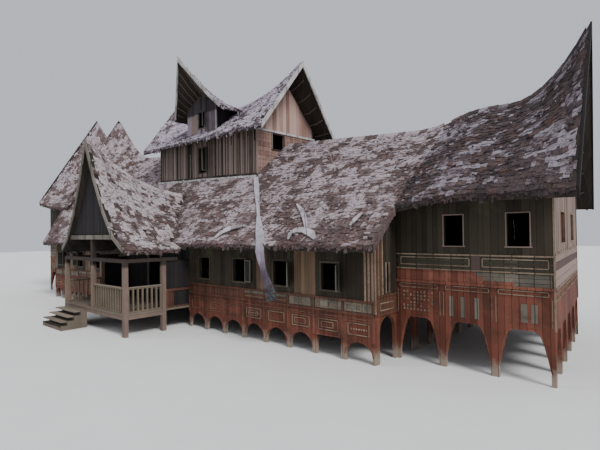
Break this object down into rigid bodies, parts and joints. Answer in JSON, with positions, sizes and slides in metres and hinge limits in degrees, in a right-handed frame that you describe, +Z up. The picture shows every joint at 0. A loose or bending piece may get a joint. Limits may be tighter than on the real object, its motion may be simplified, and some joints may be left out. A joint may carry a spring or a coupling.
{
  "type": "rumah gadang house",
  "caption": "Long raised timber house with horn-tipped roofs, arched skirts, raised end wings, a roof tower and a gabled front porch with steps.",
  "frame": {"origin": "middle of the footprint, on the ground", "axes": "+X along the house to the right wing, -Y out of the front, +Z up"},
  "size_m": [37.72, 15.4952, 14.24],
  "materials": {
    "red_board": "faded brick-red paint on carved boards",
    "grey_board": "weathered bare boards",
    "dark_board": "dark weathered boards",
    "floor_board": "worn floor boards",
    "frame_timber": "weathered posts and rails",
    "roofing": "weathered roof covering in courses",
    "pale_trim": "weathered pale edge boards"
  },
  "bodies": {
    "root": {"entrance_wall": "dark_board", "hall_floor": "floor_board", "left_end_wall": "red_board", "left_front_skirt": "red_board", "left_front_wall": "grey_board", "left_step_wall_front": "dark_board", "left_step_wall_rear": "dark_board", "left_wing_barge": "pale_trim", "left_wing_end_wall": "red_board", "left_wing_floor": "floor_board", "left_wing_front_wall": "grey_board", "left_wing_rear_wall": "grey_board", "left_wing_roof_front": "roofing", "left_wing_roof_rear": "roofing", "left_wing_skirt": "red_board", "main_roof_front": "roofing", "main_roof_rear": "roofing", "porch_floor": "floor_board", "porch_frame": "frame_timber", "porch_front_railing": "frame_timber", "porch_gable_wall": "dark_board", "porch_left_railing": "frame_timber", "porch_left_wall": "dark_board", "porch_right_railing": "frame_timber", "porch_right_wall": "dark_board", "porch_roof": "roofing", "porch_steps": "frame_timber", "rear_skirt": "red_board", "rear_wall": "grey_board", "right_end_wall": "red_board", "right_front_skirt": "red_board", "right_front_wall": "grey_board", "right_wing_barge": "pale_trim", "right_wing_end_wall": "red_board", "right_wing_floor": "floor_board", "right_wing_front_wall": "grey_board", "right_wing_rear_wall": "grey_board", "right_wing_roof_front": "roofing", "right_wing_roof_rear": "roofing", "right_wing_skirt": "red_board", "spire_gable": "dark_board", "tower_dormer_roof": "roofing", "tower_dormer_wall": "grey_board", "tower_floor": "frame_timber", "tower_front_wall": "grey_board", "tower_left_barge": "pale_trim", "tower_left_wall": "grey_board", "tower_rear_wall": "grey_board", "tower_right_barge": "pale_trim", "tower_right_wall": "grey_board", "tower_roof_front": "roofing", "tower_roof_rear": "roofing"}
  },
  "joints": []
}
